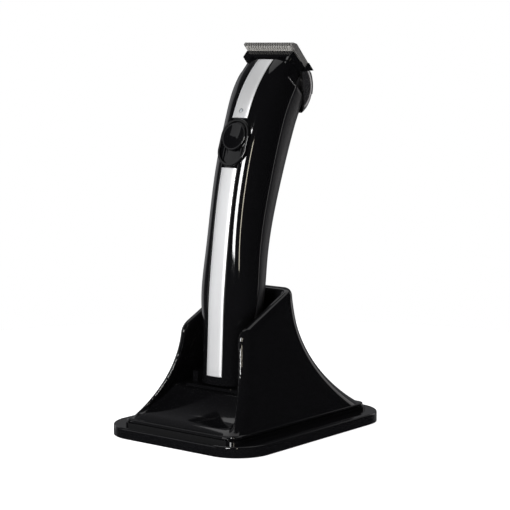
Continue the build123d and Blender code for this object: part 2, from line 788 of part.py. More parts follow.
window_front, window_back = -11.2, 3.0
window_half = blade_screw_side - 1.5
slider_slot_front, slider_slot_back = 1.2, 3.4
slider_slot_floor = 5.6
slider_half = 2.5
slider_rest = -slider_travel / 2
with BuildPart() as blade_carrier:
    add(head_block(carrier_half, -carrier_front, 8.0, carrier_low, cutter_bottom - 0.1, 1.0))
    add(head_block(carrier_half, deck_front, 8.0, carrier_low, comb_bottom - running_gap))
    with BuildSketch(head_side):
        with BuildLine():
            Polyline(
                (hump_front, comb_top), (hump_back, comb_top), (hump_front, hump_low), close=True)
        make_face()
    extrude(amount=carrier_half + 0.8, both=True)
    add(cover_form(0, cover_half_width + 1, running_gap, 0), mode=Mode.SUBTRACT)
    with BuildPart(mode=Mode.PRIVATE) as heel_body:
        add(cover_form(cover_skin + running_gap, cover_inner_half - running_gap, 1, 0))
        add(slab(head, carrier_low, 20), mode=Mode.INTERSECT)
    add(heel_body.part)
    add(head_block(window_half, window_front, window_back, -5, comb_bottom + 1), mode=Mode.SUBTRACT)
    with BuildSketch(head.offset(carrier_low)):
        with Locations(*blade_screw_places):
            Circle(1.0)
    extrude(amount=6, mode=Mode.SUBTRACT)
    add(head_block(slider_travel / 2 + slider_half, slider_slot_front, slider_slot_back,
                   slider_slot_floor, comb_top + 1), mode=Mode.SUBTRACT)
blade_carrier.part.label = "blade_carrier"
export_step(blade_carrier.part, "parts/blade_carrier.step")

with BuildPart() as blade_screws:
    with BuildSketch(head.offset(comb_bottom + 1.6 + running_gap)):
        with Locations(*blade_screw_places):
            Circle(2.2)
    extrude(amount=1.3)
    with BuildSketch(head.offset(comb_bottom - running_gap)):
        with Locations(*blade_screw_places):
            Circle(1.2)
    extrude(amount=2.0)
    with BuildSketch(head.offset(carrier_low + 0.4)):
        with Locations(*blade_screw_places):
            Circle(0.95)
    extrude(amount=comb_bottom)
    with BuildSketch(head.offset(comb_bottom + 1.6 + running_gap + 0.7)):
        with Locations(*blade_screw_places):
            Rectangle(2.6, 0.6)
            Rectangle(0.6, 2.6)
    extrude(amount=2, mode=Mode.SUBTRACT)
blade_screws.part.label = "blade_screws"
export_step(blade_screws.part, "parts/blade_screws.step")

spring_side, spring_width, spring_sheet = 7.6, 2.4, 0.4
with BuildPart() as cutter_spring:
    for side in (-1, 1):
        with BuildSketch(Plane(origin=head.origin + X_AXIS * (side * spring_side),
                               x_dir=head.y_dir, z_dir=X_AXIS)):
            with BuildLine():
                Polyline(
                    (window_back, 1.0), (window_back, 1.0 + spring_sheet), (0.0, 1.0 + spring_sheet),
                    (-7.0, cutter_bottom - 0.1), (-9.0, cutter_bottom - 0.1 - spring_sheet),
                    (-7.0, cutter_bottom - 0.1 - spring_sheet), (0.0, 1.0), close=True)
            make_face()
        extrude(amount=spring_width / 2, both=True)
cutter_spring.part.label = "cutter_spring"
export_step(cutter_spring.part, "parts/cutter_spring.step")

with BuildPart() as length_slider:
    with BuildSketch(head.offset(slider_slot_floor + running_gap)):
        with Locations((slider_rest, (slider_slot_front + slider_slot_back) / 2)):
            Rectangle(2 * slider_half - 0.1, slider_slot_back - slider_slot_front - 0.1)
    extrude(amount=comb_top - slider_slot_floor + 0.2)
    with BuildSketch(head.offset(comb_top + 0.1)):
        with Locations((slider_rest, (slider_slot_front + slider_slot_back) / 2)):
            RectangleRounded(2 * slider_half + 0.6, 3.8, 0.8)
    extrude(amount=1.1)
length_slider.part.label = "length_slider"
export_step(length_slider.part, "parts/length_slider.step")

# ================================================================ stand: base
plate_bottom = foot_proud
plate_top = plate_bottom + plate_thickness
step_top = plate_top + step_height
lip_bottom = step_top + seat_gap
lip_top = lip_bottom + lip_height
lip_width = tent_base_width + 2 * lip_margin
lip_length = tent_base_length + 2 * lip_margin
step_width = lip_width + 2 * step_margin
step_length = lip_length + 2 * step_margin
corner_round = ridge_round + lip_margin
foot_x, foot_y = 32.0, 45.0
boss_x, boss_y = 24.0, 36.0
boss_radius = 4.0
base_screw_radius = 1.2
boss_top = 12.0
foot_places = [(x * foot_x, y * foot_y) for x in (-1, 1) for y in (-1, 1)]
boss_places_low = [(x * boss_x, y * boss_y) for x in (-1, 1) for y in (-1, 1)]

with BuildPart() as base_plate:
    with BuildSketch(Plane.XY.offset(plate_bottom)):
        RectangleRounded(plate_width, plate_length, plate_corner)
    extrude(amount=plate_thickness)
    fillet(base_plate.edges().group_by(Axis.Z)[-1], plate_edge_round)
    with BuildSketch(Plane.XY.offset(plate_top)):
        RectangleRounded(step_width, step_length, corner_round + step_margin)
    extrude(amount=step_height)
    with BuildSketch(Plane.XY.offset(plate_bottom)):
        with Locations(*foot_places):
            Circle(foot_radius)
    extrude(amount=foot_thickness - foot_proud, mode=Mode.SUBTRACT)
    with BuildSketch(Plane.XY.offset(plate_bottom)):
        with Locations(*boss_places_low):
            Circle(screw_head_radius + screw_gap)
    extrude(amount=2.0, mode=Mode.SUBTRACT)
    with BuildSketch(Plane.XY):
        with Locations(*boss_places_low):
            Circle(1.5)
    extrude(amount=step_top + 1, mode=Mode.SUBTRACT)
base_plate.part.label = "base_plate"
export_step(base_plate.part, "parts/base_plate.step")

with BuildPart() as rubber_feet:
    with BuildSketch(Plane.XY):
        with Locations(*foot_places):
            Circle(foot_radius)
    extrude(amount=foot_thickness)
    fillet(rubber_feet.edges().group_by(Axis.Z)[0], 0.3)
rubber_feet.part.label = "rubber_feet"
export_step(rubber_feet.part, "parts/rubber_feet.step")

with BuildPart() as base_screws:
    with BuildSketch(Plane.XY.offset(plate_bottom + 2.0 - screw_head_height)):
        with Locations(*boss_places_low):
            Circle(screw_head_radius)
    extrude(amount=screw_head_height)
    with BuildSketch(Plane.XY.offset(plate_bottom + 1.0)):
        with Locations(*boss_places_low):
            Circle(base_screw_radius)
    extrude(amount=boss_top - plate_bottom - 1.5)
base_screws.part.label = "base_screws"
export_step(base_screws.part, "parts/base_screws.step")


# ================================================================ stand: tent
tent_height = 84.0


def tent(inset):
    """The flared form, drawn in by inset: a front view crossed with a side view."""
    side_top = tent_waist_width / 2 - inset
    side_base = tent_base_width / 2 - inset
    front_top = front_waist_y + inset
    front_base = -tent_base_length / 2 + inset
    rear_top = rear_waist_y - inset
    rear_base = tent_base_length / 2 - inset
    base_height = lip_top - inset
    bottom = lip_bottom - inset
    with BuildPart() as form:
        with BuildSketch(Plane.XZ):
            with BuildLine():
                TangentArc((side_top, side_waist_height), (side_base, base_height), tangent=(0, -1))
                Line((side_top, side_waist_height), (side_top, tent_height))
                Line((side_base, base_height), (side_base, bottom))
                mirror(about=Plane.YZ)
                Line((-side_top, tent_height), (side_top, tent_height))
                Line((-side_base, bottom), (side_base, bottom))
            make_face()
        extrude(amount=100, both=True)
        with BuildSketch(Plane.YZ):
            with BuildLine():
                TangentArc((front_top, front_waist_height), (front_base, base_height), tangent=(0, -1))
                TangentArc((rear_top, rear_waist_height), (rear_base, base_height), tangent=(0, -1))
                Polyline((front_base, base_height), (front_base, bottom),
                         (rear_base, bottom), (rear_base, base_height))
                Polyline((front_top, front_waist_height), (front_top, tent_height),
                         (rear_top, tent_height), (rear_top, rear_waist_height))
            make_face()
        extrude(amount=100, both=True, mode=Mode.INTERSECT)
    return form.part


heel_lowest = heel_height - depth_at(0, 3) * sin(radians(heel_lean))
pocket_floor = heel_lowest - running_gap - cup_floor
rear_heel = heel_y + depth_at(0, 3)
pocket_back = rear_heel + pocket_back_gap + cup_wall


def channel(grow):
    """The space between the wings, over the ramp, grown by grow."""
    side_top = tent_waist_width / 2 - wing_thickness + grow
    side_base = tent_base_width / 2 - wing_thickness + grow
    back_low = pocket_back + grow
    back_high = back_low + (tent_height - pocket_floor) * sin(radians(pocket_back_lean))
    ramp_foot = (-tent_base_length / 2 - grow, lip_top + 0.6 - grow)
    ramp_top = (ramp_top_y + grow, ramp_top_height - grow)
    middle = ((ramp_foot[0] + ramp_top[0]) / 2, (ramp_foot[1] + ramp_top[1]) / 2 - ramp_sag)
    with BuildPart() as form:
        with BuildSketch(Plane.XZ):
            with BuildLine():
                TangentArc((side_top, side_waist_height), (side_base, lip_top), tangent=(0, -1))
                Line((side_top, side_waist_height), (side_top, tent_height + 9))
                Line((side_base, lip_top), (side_base, 0))
                mirror(about=Plane.YZ)
                Line((-side_top, tent_height + 9), (side_top, tent_height + 9))
                Line((-side_base, 0), (side_base, 0))
            make_face()
        extrude(amount=100, both=True)
        with BuildSketch(Plane.YZ):
            with BuildLine():
                ThreePointArc(ramp_foot, middle, ramp_top)
                Polyline(ramp_top, (ramp_top[0], pocket_floor - grow), (back_low, pocket_floor - grow),
                         (back_high, tent_height + 9), (-120, tent_height + 9), (-120, ramp_foot[1]),
                         ramp_foot)
            make_face()
        extrude(amount=100, both=True, mode=Mode.INTERSECT)
    return form.part


rim_plane = Plane(
    origin=(0, rim_front_y, rim_front_height), x_dir=X_AXIS,
    z_dir=(0, -sin(radians(rim_slope)), cos(radians(rim_slope))))
cup_centre_y = heel_y
cup_block_x, cup_block_y = 9.0, 4.5
jack_width, jack_height, jack_depth = 9.0, 9.0, 13.0
jack_low = 8.9
jack_face = 36.0
jack_wall = 1.5
jack_radius = 2.75
with BuildPart() as stand_shell:
    add(tent(0))
    ridges = stand_shell.edges().filter_by(lambda edge: abs(edge.center().X) > 15 and abs(edge.center().Y) > 5)
    fillet(ridges.filter_by(lambda edge: edge.bounding_box().size.Z > 20), ridge_round)
    with BuildSketch(Plane.XY.offset(lip_bottom)):
        RectangleRounded(lip_width, lip_length, corner_round)
    extrude(amount=lip_height)
    split(bisect_by=rim_plane, keep=Keep.BOTTOM)
    add(channel(0), mode=Mode.SUBTRACT)
    with BuildPart(mode=Mode.PRIVATE) as cavity:
        add(tent(stand_wall))
        add(channel(stand_wall), mode=Mode.SUBTRACT)
        split(bisect_by=rim_plane.offset(-stand_wall), keep=Keep.BOTTOM)
    add(cavity.part, mode=Mode.SUBTRACT)
    with BuildPart(mode=Mode.PRIVATE) as posts:
        with BuildSketch(Plane.XY.offset(lip_bottom)):
            with Locations(*boss_places_low):
                Circle(boss_radius)
        extrude(amount=40)
        add(tent(stand_wall / 2), mode=Mode.INTERSECT)
        add(channel(stand_wall / 2), mode=Mode.SUBTRACT)
    add(posts.part)
    with BuildPart(mode=Mode.PRIVATE) as jack_niche:
        with BuildSketch(Plane.XY.offset(lip_bottom)):
            with Locations((0, jack_face + 15 - jack_wall)):
                Rectangle(jack_width + 2 * jack_wall + 0.4, 30)
        extrude(amount=jack_low + jack_height + jack_wall + 0.2 - lip_bottom)
        add(tent(0.02), mode=Mode.INTERSECT)
    add(jack_niche.part)
    with BuildSketch(Plane.XY):
        with Locations(*boss_places_low):
            Circle(base_screw_radius)
    extrude(amount=boss_top, mode=Mode.SUBTRACT)
    with BuildSketch(Plane.XY.offset(pocket_floor - 10)):
        with Locations((0, cup_centre_y)):
            Rectangle(2 * cup_block_x + 0.4, 2 * cup_block_y + 0.4)
    extrude(amount=20, mode=Mode.SUBTRACT)
    with BuildSketch(Plane.XY.offset(jack_low - 0.2)):
        with Locations((0, 60)):
            Rectangle(jack_width + 0.4, 2 * (60 - jack_face) + 2 * jack_wall + 1)
    extrude(amount=jack_height + 0.4, mode=Mode.SUBTRACT)
stand_shell.part.label = "stand_shell"
export_step(stand_shell.part, "parts/stand_shell.step")

# The cup holds the clipper's foot and the two sprung pins.
cup_half = tent_waist_width / 2 - wing_thickness - 0.15
foot_half = depth_at(0, 1)
pin_guide_radius, pin_flange_radius = 1.2, 2.1
spring_bore_radius = 2.6
pin_low, pin_high = pocket_floor - 7.0, heel_height + 0.5
flange_bottom = pocket_floor - 2.6
board_high = pocket_floor - 8.5
pin_places = [(-contact_side, cup_centre_y), (contact_side, cup_centre_y)]
cup_front = ramp_top_y + 0.2
cup_back = pocket_back - 0.15
foot_back = rear_heel + pocket_back_gap - 0.1
with BuildPart() as cradle_cup:
    with BuildSketch(Plane.XY.offset(pocket_floor)):
        with Locations((0, (cup_front + cup_back) / 2)):
            Rectangle(2 * cup_half, cup_back - cup_front)
    extrude(amount=cup_floor)
    with BuildSketch(Plane.XY.offset(pocket_floor)):
        with Locations((0, (cup_back + cup_front + 5.0) / 2)):
            Rectangle(2 * cup_half, cup_back - cup_front - 5.0)
        with Locations((0, foot_back - 40)):
            Rectangle(2 * foot_half + 1.2, 80, mode=Mode.SUBTRACT)
    extrude(amount=cup_wall_height)
    with BuildSketch(Plane.XY.offset(board_high)):
        with Locations((0, cup_centre_y)):
            Rectangle(2 * cup_block_x, 2 * cup_block_y)
    extrude(amount=pocket_floor - board_high)
    with BuildSketch(Plane.XY.offset(board_high)):
        with Locations(*pin_places):
            Circle(spring_bore_radius)
    extrude(amount=flange_bottom + 0.8 - board_high, mode=Mode.SUBTRACT)
    with BuildSketch(Plane.XY.offset(board_high)):
        with Locations(*pin_places):
            Circle(pin_guide_radius + running_gap)
    extrude(amount=40, mode=Mode.SUBTRACT)
cradle_cup.part.label = "cradle_cup"
export_step(cradle_cup.part, "parts/cradle_cup.step")

for name, (pin_x, pin_y) in zip(("left", "right"), pin_places):
    with BuildPart() as contact_pin:
        with BuildSketch(Plane.XY.offset(pin_low)):
            with Locations((pin_x, pin_y)):
                Circle(pin_guide_radius)
        extrude(amount=pin_high - pin_low)
        fillet(contact_pin.edges().group_by(Axis.Z)[-1], 0.4)
        with BuildSketch(Plane.XY.offset(flange_bottom)):
            with Locations((pin_x, pin_y)):
                Circle(pin_flange_radius)
        extrude(amount=0.8 - running_gap)
    contact_pin.part.label = "contact_pin_" + name
    export_step(contact_pin.part, "parts/contact_pin_" + name + ".step")

spring_wire, spring_turns = 0.4, 5
spring_low, spring_high = board_high, flange_bottom
for name, (pin_x, pin_y) in zip(("left", "right"), pin_places):
    spring_rise = spring_high - spring_low - spring_wire - 2 * running_gap
    with BuildPart() as contact_spring:
        with BuildLine(Plane.XY.offset(spring_low + spring_wire / 2 + running_gap)) as coil:
            Helix(pitch=spring_rise / spring_turns, height=spring_rise, radius=1.75, center=(pin_x, pin_y, 0))
        with BuildSketch(Plane(origin=coil.line @ 0, z_dir=coil.line % 0)):
            Circle(spring_wire / 2)
        sweep(is_frenet=True)
    contact_spring.part.label = "contact_spring_" + name
    export_step(contact_spring.part, "parts/contact_spring_" + name + ".step")

with BuildPart() as charging_board:
    with BuildSketch(Plane.XY.offset(board_high - 1.6)):
        with Locations((0, cup_centre_y)):
            Rectangle(26, 14)
    extrude(amount=1.6)
charging_board.part.label = "charging_board"
export_step(charging_board.part, "parts/charging_board.step")

with BuildPart() as dc_socket:
    with BuildSketch(Plane.XY.offset(jack_low)):
        with Locations((0, jack_face - jack_depth / 2)):
            Rectangle(jack_width, jack_depth)
    extrude(amount=jack_height)
    with BuildSketch(Plane.XZ.offset(-jack_face)):
        with Locations((0, jack_low + jack_height / 2)):
            Circle(jack_radius)
            Circle(1.0, mode=Mode.SUBTRACT)
    extrude(amount=9.0, mode=Mode.SUBTRACT)
dc_socket.part.label = "dc_socket"
export_step(dc_socket.part, "parts/dc_socket.step")
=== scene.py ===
import json
import math

import bmesh
import bpy
import numpy as np
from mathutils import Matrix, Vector


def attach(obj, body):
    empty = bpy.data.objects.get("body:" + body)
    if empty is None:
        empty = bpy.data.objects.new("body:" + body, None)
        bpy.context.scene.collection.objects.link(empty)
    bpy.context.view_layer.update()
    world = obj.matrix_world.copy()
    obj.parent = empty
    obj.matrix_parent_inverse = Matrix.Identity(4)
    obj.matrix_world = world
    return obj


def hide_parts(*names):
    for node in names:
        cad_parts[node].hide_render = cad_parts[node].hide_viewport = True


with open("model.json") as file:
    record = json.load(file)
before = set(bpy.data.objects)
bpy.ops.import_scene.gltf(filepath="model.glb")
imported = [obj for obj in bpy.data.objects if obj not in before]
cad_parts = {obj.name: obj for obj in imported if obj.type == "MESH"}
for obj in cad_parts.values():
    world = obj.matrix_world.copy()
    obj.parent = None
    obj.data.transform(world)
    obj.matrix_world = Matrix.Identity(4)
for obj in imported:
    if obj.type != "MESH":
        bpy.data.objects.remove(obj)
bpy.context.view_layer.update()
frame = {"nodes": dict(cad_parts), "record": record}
nodes = frame["nodes"]
print("frame loaded,", len(nodes), "nodes")


# a Socket does maths on a shader value, a Graph makes the nodes
class Socket:
    def __init__(self, graph, link):
        self.graph = graph
        self.link = link

    def maths(self, operation, other, swapped=False):
        pair = [other, self] if swapped else [self, other]
        return self.graph.node("ShaderNodeMath", {"operation": operation}, {0: pair[0], 1: pair[1]})

    def __add__(self, other):
        return self.maths("ADD", other)

    def __radd__(self, other):
        return self.maths("ADD", other, True)

    def __sub__(self, other):
        return self.maths("SUBTRACT", other)

    def __rsub__(self, other):
        return self.maths("SUBTRACT", other, True)

    def __mul__(self, other):
        return self.maths("MULTIPLY", other)

    def __rmul__(self, other):
        return self.maths("MULTIPLY", other, True)

    def __pow__(self, other):
        return self.maths("POWER", other)

    def clamp(self, low=0.0, high=1.0):
        return self.maths("MAXIMUM", low).maths("MINIMUM", high)


class Graph:
    def __init__(self, tree):
        self.tree = tree
        tree.nodes.clear()

    def node(self, kind, settings=None, inputs=None, out=0):
        made = self.tree.nodes.new(kind)
        for key, value in (settings or {}).items():
            if key == "stops":
                ramp = made.color_ramp.elements
                while len(ramp) < len(value):
                    ramp.new(0.5)
                for stop, (place, colour) in zip(ramp, value):
                    stop.position = place
                    stop.color = (*colour, 1)
            else:
                setattr(made, key, value)
        for key, value in (inputs or {}).items():
            self.plug(value, made.inputs[key])
        return Socket(self, made.outputs[out]) if out is not None else None

    def plug(self, value, target):
        if isinstance(value, Socket):
            self.tree.links.new(value.link, target)
        elif isinstance(value, tuple) and len(value) == 3 and target.type == "RGBA":
            target.default_value = (*value, 1)
        else:
            target.default_value = value

    def place(self, scale=(1, 1, 1)):
        spot = self.node("ShaderNodeTexCoord", out="Object")
        return self.node("ShaderNodeMapping", None, {"Vector": spot, "Scale": scale})

    def noise(self, where, scale, detail=3.0, roughness=0.5):
        return self.node("ShaderNodeTexNoise", None, {
            "Vector": where, "Scale": scale, "Detail": detail, "Roughness": roughness})

    def mix(self, share, first, second):
        # a Mix node's colour sockets are 6 and 7, and its colour output is 2
        return self.node("ShaderNodeMix", {"data_type": "RGBA"}, {0: share, 6: first, 7: second}, 2)

    def bump(self, height, distance):
        return self.node("ShaderNodeBump", None, {"Height": height, "Distance": distance, "Strength": 1.0})


def surface(name, fixed, build):
    material = bpy.data.materials.new(name)
    material.use_nodes = True
    graph = Graph(material.node_tree)
    varying = build(graph)
    shader = graph.node("ShaderNodeBsdfPrincipled", None, {**fixed, **varying})
    graph.node("ShaderNodeOutputMaterial", None, {"Surface": shader}, None)
    return material


glossBlack = {
    "colour": (0.0035, 0.0035, 0.004), "haze": 0.035, "hazeSpread": 0.05, "smearScale": 38.0,
    "dustScale": 2600.0, "dustFrom": 0.68, "dustGain": 9.0, "dustTint": 0.25, "dustHaze": 0.12,
    "dustColour": (0.03, 0.03, 0.032), "peelScale": 420.0, "peelDepth": 0.0000022,
}


def makeGloss(g):
    spec = glossBlack
    smear = g.noise(g.place((1, 1, 0.6)), spec["smearScale"], 4.0, 0.6)
    dust = g.noise(g.place(), spec["dustScale"], 2.0)
    peel = g.noise(g.place(), spec["peelScale"], 2.0)
    speck = ((dust - spec["dustFrom"]) * spec["dustGain"]).clamp()
    return {
        "Base Color": g.mix(speck * spec["dustTint"], spec["colour"], spec["dustColour"]),
        "Roughness": spec["haze"] + spec["hazeSpread"] * (smear ** 2.0) + speck * spec["dustHaze"],
        "Normal": g.bump(peel, spec["peelDepth"]),
    }


satinBlack = {
    "colour": (0.012, 0.012, 0.0135), "grainColour": (0.02, 0.02, 0.022), "grainScale": 2400.0,
    "grainDepth": 0.000014, "cloudScale": 60.0, "haze": 0.3, "hazeSpread": 0.16,
}


def makeSatin(g):
    spec = satinBlack
    grain = g.noise(g.place(), spec["grainScale"], 3.0, 0.6)
    broad = g.noise(g.place(), spec["cloudScale"], 3.0)
    return {
        "Base Color": g.mix(grain, spec["colour"], spec["grainColour"]),
        "Roughness": spec["haze"] + spec["hazeSpread"] * broad,
        "Normal": g.bump(grain, spec["grainDepth"]),
    }


trimSilver = {
    "colour": (0.92, 0.925, 0.94), "dark": (0.78, 0.785, 0.8), "brushScale": 900.0, "brushTint": 0.5,
    "brushDepth": 0.0000035, "cloudScale": 45.0, "cloudTint": 0.3, "haze": 0.36, "hazeSpread": 0.1,
}


def makeTrim(g):
    # brushed along the strip
    spec = trimSilver
    brushed = g.noise(g.place((1.0, 0.04, 0.04)), spec["brushScale"], 4.0, 0.65)
    cloud = g.noise(g.place(), spec["cloudScale"], 2.0)
    tint = brushed * spec["brushTint"] + cloud * spec["cloudTint"]
    return {
        "Base Color": g.mix(tint, spec["colour"], spec["dark"]),
        "Roughness": spec["haze"] + spec["hazeSpread"] * brushed,
        "Normal": g.bump(brushed, spec["brushDepth"]),
    }


cutterSteel = {
    "bright": (0.86, 0.85, 0.83), "dull": (0.6, 0.58, 0.55), "grindScale": 1400.0, "grindDepth": 0.000005,
    "grindHaze": 0.16, "stainScale": 240.0, "stainGain": 1.3, "stainFrom": 0.2, "stainHaze": 0.1, "haze": 0.2,
}
# the comb is the cutter steel made darker: painted shade for the shadow the comb's teeth lie in behind the
# cutter
shadedCombSteel = {**cutterSteel, "bright": (0.36, 0.355, 0.35), "dull": (0.2, 0.195, 0.19)}


def makeBlade(g, spec=cutterSteel):
    # ground across the teeth, with faint stains
    lines = g.noise(g.place((0.04, 1.0, 1.0)), spec["grindScale"], 4.0, 0.7)
    stain = g.noise(g.place(), spec["stainScale"], 4.0, 0.6)
    spots = (stain * spec["stainGain"] - spec["stainFrom"]).clamp()
    return {
        "Base Color": g.mix(spots, spec["bright"], spec["dull"]),
        "Roughness": spec["haze"] + spec["grindHaze"] * lines + spec["stainHaze"] * stain,
        "Normal": g.bump(lines, spec["grindDepth"]),
    }


def makeShadedComb(g):
    return makeBlade(g, shadedCombSteel)


smokedChrome = {
    "colour": (0.3, 0.3, 0.305), "light": (0.46, 0.455, 0.45), "smearScale": 120.0, "haze": 0.16,
    "hazeSpread": 0.14, "waveScale": 500.0, "waveDepth": 0.0000012,
}


def makeSmoked(g):
    spec = smokedChrome
    smear = g.noise(g.place(), spec["smearScale"], 4.0, 0.6)
    return {
        "Base Color": g.mix(smear, spec["colour"], spec["light"]),
        "Roughness": spec["haze"] + spec["hazeSpread"] * (smear ** 2.0),
        "Normal": g.bump(g.noise(g.place(), spec["waveScale"]), spec["waveDepth"]),
    }


plainSteel = {
    "bright": (0.6, 0.6, 0.6), "dull": (0.42, 0.42, 0.43), "turnedScale": 1500.0, "turnedDepth": 0.000004,
    "cloudScale": 200.0, "haze": 0.22, "hazeSpread": 0.2,
}


def makeSteel(g):
    spec = plainSteel
    turned = g.noise(g.place((1, 1, 0.1)), spec["turnedScale"], 3.0)
    cloud = g.noise(g.place(), spec["cloudScale"], 3.0)
    return {
        "Base Color": g.mix(cloud, spec["bright"], spec["dull"]),
        "Roughness": spec["haze"] + spec["hazeSpread"] * turned,
        "Normal": g.bump(turned, spec["turnedDepth"]),
    }


footRubber = {
    "colour": (0.018, 0.018, 0.018), "worn": (0.045, 0.044, 0.042), "grainScale": 1500.0,
    "grainDepth": 0.00003, "haze": 0.72, "hazeSpread": 0.15,
}


def makeRubber(g):
    spec = footRubber
    grain = g.noise(g.place(), spec["grainScale"], 4.0, 0.7)
    return {
        "Base Color": g.mix(grain, spec["colour"], spec["worn"]),
        "Roughness": spec["haze"] + spec["hazeSpread"] * grain,
        "Normal": g.bump(grain, spec["grainDepth"]),
    }


boardGreen = {
    "colour": (0.02, 0.13, 0.05), "track": (0.04, 0.22, 0.09), "cellScale": 420.0, "trackFrom": 0.25,
    "trackGain": 14.0, "trackDepth": 0.00002, "haze": 0.35, "hazeSpread": 0.1,
}


def makeBoard(g):
    spec = boardGreen
    cells = g.node("ShaderNodeTexVoronoi", {"distance": "MANHATTAN"}, {
        "Vector": g.place(), "Scale": spec["cellScale"]})
    tracks = ((cells - spec["trackFrom"]) * spec["trackGain"]).clamp()
    return {
        "Base Color": g.mix(tracks, spec["colour"], spec["track"]),
        "Roughness": spec["haze"] + spec["hazeSpread"] * tracks,
        "Normal": g.bump(tracks, spec["trackDepth"]),
    }


contactBrass = {
    "bright": (0.85, 0.64, 0.28), "dull": (0.6, 0.42, 0.18), "wearScale": 700.0, "wearDepth": 0.000004,
    "haze": 0.18, "hazeSpread": 0.2,
}


def makeBrass(g):
    spec = contactBrass
    wear = g.noise(g.place(), spec["wearScale"], 4.0, 0.6)
    return {
        "Base Color": g.mix(wear, spec["bright"], spec["dull"]),
        "Roughness": spec["haze"] + spec["hazeSpread"] * wear,
        "Normal": g.bump(wear, spec["wearDepth"]),
    }


batterySleeve = {
    "colour": (0.02, 0.09, 0.3), "light": (0.03, 0.13, 0.38), "rippleScale": 160.0, "rippleDepth": 0.00002,
    "haze": 0.2, "hazeSpread": 0.12,
}


def makeSleeve(g):
    spec = batterySleeve
    ripple = g.noise(g.place((1, 1, 0.3)), spec["rippleScale"], 3.0)
    return {
        "Base Color": g.mix(ripple, spec["colour"], spec["light"]),
        "Roughness": spec["haze"] + spec["hazeSpread"] * ripple,
        "Normal": g.bump(ripple, spec["rippleDepth"]),
    }


lampPipe = {
    "light": (0.5, 0.53, 0.55), "dark": (0.34, 0.37, 0.4), "milkScale": 900.0, "milkDepth": 0.000006,
    "haze": 0.22, "hazeSpread": 0.1,
}


def makeLamp(g):
    spec = lampPipe
    milk = g.noise(g.place(), spec["milkScale"], 2.0)
    return {
        "Base Color": g.mix(milk, spec["light"], spec["dark"]),
        "Roughness": spec["haze"] + spec["hazeSpread"] * milk,
        "Normal": g.bump(milk, spec["milkDepth"]),
    }


plastic = {"IOR": 1.5, "Metallic": 0.0}
metal = {"Metallic": 1.0}
painted = {"Metallic": 0.55}
ground = {"Metallic": 0.5}
finishes = {
    "gloss_black": surface("glossBlack", plastic, makeGloss),
    "satin_black": surface("satinBlack", plastic, makeSatin),
    "trim_silver": surface("trimSilver", painted, makeTrim),
    "blade_steel": surface("cutterSteel", ground, makeBlade),
    "smoked_chrome": surface("smokedChrome", metal, makeSmoked),
    "steel": surface("plainSteel", metal, makeSteel),
    "rubber": surface("footRubber", plastic, makeRubber),
    "board_green": surface("boardGreen", plastic, makeBoard),
    "contact_brass": surface("contactBrass", metal, makeBrass),
    "battery_wrap": surface("batterySleeve", plastic, makeSleeve),
    "lamp_clear": surface("lampPipe", plastic, makeLamp),
}
slotOf = {piece["node"]: piece["material_slot"] for piece in frame["record"]["subparts"]}
for name, part in nodes.items():
    part.data.materials.clear()
    part.data.materials.append(finishes[slotOf[name]])
for name in ("blade_carrier", "base_plate", "cradle_cup", "foot_cap"):
    nodes[name].data.materials[0] = finishes["gloss_black"]
# the comb blade gets the darker steel, a painted shade
nodes["comb_blade"].data.materials[0] = surface("shadedCombSteel", ground, makeShadedComb)
print("finishes on", len(nodes), "nodes")


# the clipper body: the same spine and sections as the CAD, as one fine mesh for each half
body = {
    "heel": (-0.0146, 0.0252),
    "lean": math.radians(1.7),
    "arcs": ((0.063, 0.440), (0.070, 0.352), (0.024, 0.0566)),
    # along the spine: distance, half width, front, rear, fullness
    "stations": (
        (0.0, 12.7, 12.0, 11.9, 0.66), (25.0, 13.1, 12.3, 12.1, 0.66), (37.0, 15.3, 12.9, 12.6, 0.66),
        (63.0, 15.0, 14.0, 13.6, 0.66), (103.0, 15.2, 16.0, 16.0, 0.66), (133.0, 15.7, 15.2, 16.6, 0.72),
        (145.0, 16.2, 13.8, 15.2, 0.78), (157.0, 16.0, 12.2, 13.0, 0.82)),
    "wall": 0.0016,
    "rowStep": 0.0009,
    "sideColumns": 40,
    "seamRound": 0.00028,
    "seamGap": 0.00007,
    "neckRecess": 0.0018,
    "neckStart": 0.1495,
    "neckBlend": 0.001,
    "seamFrom": 0.985,
    "seamZone": 0.015,
    "liningGap": 0.0004,
    "shareSteps": 30,
}
strip = {
    "start": 0.004, "end": 0.1562, "half": 0.0047, "gap": 0.00012, "groove": 0.0009, "round": 0.00022,
    "thick": 0.0008, "rows": 0.001, "outerColumn": 1.18, "roundShare": 0.4, "columns": (0.6, 0.3),
    "hair": 0.00001, "switchAt": 0.1148, "switchHalf": 0.0122, "lap": 0.0001,
}


def splineThrough(knots, values):
    # natural cubic spline, so that reflections run smoothly from section to section
    n = len(knots)
    h = np.diff(knots)
    a = np.zeros((n, n))
    b = np.zeros(n)
    a[0, 0] = a[-1, -1] = 1
    for i in range(1, n - 1):
        a[i, i - 1:i + 2] = h[i - 1], 2 * (h[i - 1] + h[i]), h[i]
        b[i] = 6 * ((values[i + 1] - values[i]) / h[i] - (values[i] - values[i - 1]) / h[i - 1])
    m = np.linalg.solve(a, b)

    def at(x):
        i = int(np.clip(np.searchsorted(knots, x) - 1, 0, n - 2))
        left, right = knots[i + 1] - x, x - knots[i]
        return (m[i] * left ** 3 + m[i + 1] * right ** 3) / (6 * h[i]) + (
            values[i] / h[i] - m[i] * h[i] / 6) * left + (values[i + 1] / h[i] - m[i + 1] * h[i] / 6) * right
    return at


stationTable = np.array(body["stations"]) * np.array([0.001, 0.001, 0.001, 0.001, 1])
sectionAt = [splineThrough(stationTable[:, 0], stationTable[:, c]) for c in range(1, 5)]


def spineAt(distance):
    y, z = body["heel"]
    lean = body["lean"]
    left = distance
    for length, radius in body["arcs"]:
        step = min(left, length)
        turned = lean + step / radius
        y += radius * (math.cos(lean) - math.cos(turned))
        z += radius * (math.sin(turned) - math.sin(lean))
        lean, left = turned, left - step
        if left <= 0:
            break
    return y, z, lean


